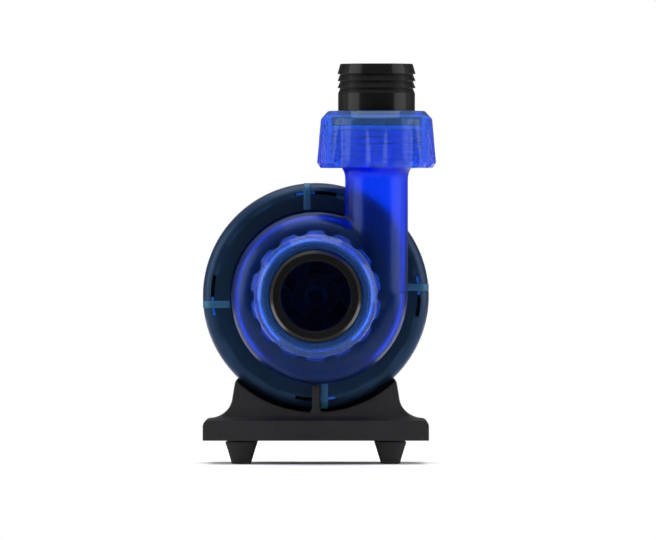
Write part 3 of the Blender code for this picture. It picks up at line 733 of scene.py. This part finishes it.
def make_nut(size, matrix, body):
    """Tapered nut: scallops cut parallel to the axis fade out up the taper; its bore inside is
    plain.
    """
    wide, low, top = size.nut_radius, size.base, size.top
    opening, bore = size.neck_radius + 0.65, size.thread_radius + 0.4
    steps = LOBES * 14
    cutter = 3.1
    reach = wide - 1.95 + cutter
    outside = rounded([
        (bore + 0.6, low), (wide - 1.6, low, 0.6), (wide, low + 2.2, 1.4),
        (wide - 1.75, top - 3.4, 2.4), (wide - 4.9, top, 1.2), (opening + 0.5, top)],
        closed=False)
    fine = [outside[0]]
    for (r0, z0), (r1, z1) in zip(outside, outside[1:]):
        parts = max(1, int(abs(z1 - z0) / 0.9))
        fine += [(r0 + (r1 - r0) * k / parts, z0 + (z1 - z0) * k / parts)
                 for k in range(1, parts + 1)]
    rows = []
    for radius, height in fine:
        row = []
        for i in range(steps):
            angle = 360.0 * i / steps
            phase = (angle / 360.0 * LOBES + 0.5) % 1.0 - 0.5
            away = math.radians(abs(0.5 - abs(phase)) * 360.0 / LOBES)
            inside = cutter ** 2 - (reach * math.sin(away)) ** 2
            cut = reach * math.cos(away) - math.sqrt(inside) if inside > 0 else radius + 9
            kept = soft_min(radius, cut, 0.35) if cut < radius + 1 else radius
            row.append((*polar(max(kept, min(radius, bore + 0.6)), angle + FIRST_LOBE), height))
        rows.append(row)
    lip = [(opening + 0.15, top - 0.12), (opening, top - 0.5), (opening, top - 2.7),
           (opening + 0.2, top - 2.9), (bore - 0.3, top - 2.9), (bore, top - 3.2)]
    for radius, height in lip:
        rows.append([(*polar(radius, 360.0 * i / steps), height) for i in range(steps)])
    rows.append([(*polar(bore, 360.0 * i / steps), low + 0.5) for i in range(steps)])
    nut = mesh_object(size.name + "_union_nut", skin_form(rows), matrix, 50.0)
    finish(nut, body, NUT_BLUE, "blue_plastic", size.name + "_nut")


def make_barb(size, matrix, body):
    seat = size.head_high + 0.3
    low, high = seat + 1.8, size.top - 3.2
    crest, root = size.crest_radius, size.crest_radius - 1.1
    flange = size.thread_radius - 0.7
    teeth = []
    for k in range(3):
        top = size.tip - 4.2 - 2.95 * k
        teeth += [(crest, top, 0.12), (root, top - 0.25, 0.2)]
    profile = [(flange, low, 0.3), (flange, high, 0.4), (size.neck_radius, high, 0.5),
               (size.neck_radius, size.tip - 12.4, 0.6)]
    profile += teeth[::-1]
    profile += [(crest - 1.2, size.tip, 0.35), (size.bore_radius + 0.5, size.tip, 0.2),
                (size.bore_radius, size.tip - 0.8, 0.2), (size.bore_radius, low, 0.3)]
    barb = even_normals(turned(size.name + "_hose_barb", rounded(profile, count=5), matrix, 144))
    finish(barb, body, BARB_BLACK, "black_gloss_plastic", size.name + "_barb")
    edge = rounded([
        (size.bore_radius + 0.2, seat, 0.3), (size.thread_radius - 0.8, seat, 0.3),
        (size.thread_radius - 0.8, seat + 1.5, 0.3), (size.bore_radius + 0.2, seat + 1.5, 0.3)])
    gasket = even_normals(turned(size.name + "_flat_gasket", edge, matrix, 96))
    # The gasket's cyan is a painted highlight.
    finish(gasket, body, GASKET_PAINTED_HIGHLIGHT, "silicone", size.name + "_gasket")


# ---------------------------------------------------------------- impeller


def make_impeller():
    hub = rounded([
        (3.1, 6.2, 0.2), (6.0, 6.2, 0.3), (6.0, 8.0, 0.3), (26.0, 8.0, 0.4), (26.0, 9.6, 0.4),
        (10.0, 10.6, 1.0), (9.6, 18.0, 0.4), (4.6, 18.0, 0.4), (4.4, 21.4, 0.3),
        (3.1, 21.4, 0.2)])
    wheel = turned("impeller_wheel", hub, PUMP, 144)
    for k in range(BLADES):
        first = 360.0 * k / BLADES
        line = [(9.0 + 16.6 * i / 16, first - 46.0 * (i / 16) ** 0.8) for i in range(17)]
        left = [polar(radius, angle + 52.0 / radius) for radius, angle in line]
        right = [polar(radius, angle - 52.0 / radius) for radius, angle in line]
        blade = prism("blade", left + right[::-1], 8.8, 19.0, PUMP, 0.3)
        boolean(wheel, blade, "UNION")
    for side in (-1, 1):
        corners = [(-2.3, side * 8.4 - 0.6), (2.3, side * 8.4 - 0.6), (2.3, side * 8.4 + 0.6),
                   (-2.3, side * 8.4 + 0.6)]
        boolean(wheel, prism("mark", corners, 17.5, 18.7, PUMP, 0.15), "UNION")
    # The impeller and its nose are painted darker than the housing's black: painted shade for the
    # bore.
    finish(wheel, "rotor", SHADED_INNER_BLACK, "black_plastic", "impeller")
    nose = rounded([(0, 21.7), (4.2, 21.7, 0.2), (4.2, 22.6, 0.6), (3.2, 24.2, 0.6),
                    (2.2, 24.4, 0.3), (1.9, 23.8, 0.3), (0, 23.8)], closed=False)
    cap = even_normals(turned("impeller_nose", nose, PUMP, 64))
    finish(cap, "rotor", SHADED_INNER_BLACK, "black_plastic", "impeller_cap")


def dress_inner_nodes():
    """Materials for the CAD pieces that stay as they are."""
    looks = {
        "rubber": RUBBER, "steel": STEEL, "black_plastic": BLACK, "ceramic": CERAMIC,
        "lamination": CORE, "copper": COPPER, "board": BOARD, "ferrite": FERRITE,
    }
    for row in frame["record"]["subparts"]:
        look = looks.get(row["material_slot"])
        obj = frame["nodes"][row["node"]]
        if look and not obj.hide_render:
            obj.data.materials.clear()
            obj.data.materials.append(look)


# ---------------------------------------------------------------- studio


def make_studio():
    form = bmesh.new()
    bmesh.ops.create_circle(form, cap_ends=True, segments=96, radius=0.6)
    mesh = bpy.data.meshes.new("studio_floor")
    form.to_mesh(mesh)
    form.free()
    floor = bpy.data.objects.new("studio_floor", mesh)
    floor.location.z = -0.0002
    bpy.context.scene.collection.objects.link(floor)
    made, tree, shader = node_material("pale_floor")
    tone = add_ramp(tree, add_noise(tree, 3.0), (0.93, 0.93, 0.93), (0.95, 0.95, 0.95))
    tree.links.new(tone, shader.inputs["Base Color"])
    shader.inputs["Roughness"].default_value = 0.9
    shader.inputs["Specular IOR Level"].default_value = 0.1
    floor.data.materials.append(made)

    make_world()
    lamp("top", (0.0, -0.1, 1.3), 1.2, 1.2, 16.0)
    lamp("left", (-1.1, -0.35, 0.40), 0.9, 0.9, 9.0)
    lamp("right", (1.1, -0.30, 0.35), 0.9, 0.9, 8.0)


def add_step(tree, value, low, high, amount):
    """Rises smoothly from 0 to the amount while the value goes from low to high."""
    step = tree.nodes.new("ShaderNodeMapRange")
    step.interpolation_type = "SMOOTHSTEP"
    step.inputs["From Min"].default_value = low
    step.inputs["From Max"].default_value = high
    step.inputs["To Max"].default_value = amount
    tree.links.new(value, step.inputs["Value"])
    return step.outputs["Result"]


def add_math(tree, operation, *values):
    node = tree.nodes.new("ShaderNodeMath")
    node.operation = operation
    for socket, value in zip(node.inputs, values):
        if isinstance(value, float):
            socket.default_value = value
        else:
            tree.links.new(value, socket)
    return node.outputs["Value"]


def make_world():
    """White behind the object; its light is bright from above and the sides, dim in front."""
    world = bpy.data.worlds.new("studio")
    bpy.context.scene.world = world
    world.use_nodes = True
    tree = world.node_tree
    back = tree.nodes["Background"]
    place = tree.nodes.new("ShaderNodeTexCoord")
    split = tree.nodes.new("ShaderNodeSeparateXYZ")
    tree.links.new(place.outputs["Generated"], split.inputs["Vector"])
    above = add_step(tree, split.outputs["Z"], 0.25, 0.95, 0.9)
    sideways = add_math(tree, "ABSOLUTE", split.outputs["X"])
    sides = add_step(tree, sideways, 0.72, 0.96, 0.7)
    light = add_math(tree, "ADD", add_math(tree, "ADD", above, sides), 0.16)
    path = tree.nodes.new("ShaderNodeLightPath")
    seen = add_math(tree, "MAXIMUM", path.outputs["Is Camera Ray"],
                    path.outputs["Is Transmission Ray"])
    tree.links.new(add_math(tree, "MAXIMUM", light, seen), back.inputs["Strength"])
    back.inputs["Color"].default_value = (1.0, 1.0, 1.0, 1.0)


def lamp(name, place, width, height, power):
    data = bpy.data.lights.new(name, "AREA")
    data.shape = "RECTANGLE"
    data.size = width
    data.size_y = height
    data.energy = power
    obj = bpy.data.objects.new(name, data)
    obj.location = place
    target = Vector((0.0, 0.0, 0.08))
    obj.rotation_euler = (target - obj.location).to_track_quat("-Z", "Y").to_euler()
    bpy.context.scene.collection.objects.link(obj)


def make_camera():
    """A long lens square to the front, at the height of the picture's middle."""
    data = bpy.data.cameras.new("front")
    distance, width = 6.0, 0.2755
    right_of_axis, above_axis = 0.00512, 0.01092
    data.sensor_width = 36.0
    data.lens = data.sensor_width * distance / width
    data.clip_end = 30.0
    camera = bpy.data.objects.new("front", data)
    camera.location = (AXIS.x + right_of_axis, OUTLET_FOOT.y - distance,
                       AXIS.z + above_axis)
    camera.rotation_euler = (math.radians(90), 0, 0)
    bpy.context.scene.collection.objects.link(camera)
    bpy.context.scene.camera = camera


make_camera()
make_studio()
make_base()
make_feet()
make_housing()
make_rear()
make_head_cover()
make_volute()
make_nut(OUTLET, OUTLET_AXES, "outlet_nut")
make_barb(OUTLET, OUTLET_AXES, "outlet_tail")
make_nut(INLET, PUMP, "inlet_nut")
make_barb(INLET, PUMP, "inlet_tail")
make_impeller()
dress_inner_nodes()

bpy.context.scene.view_settings.view_transform = "Standard"
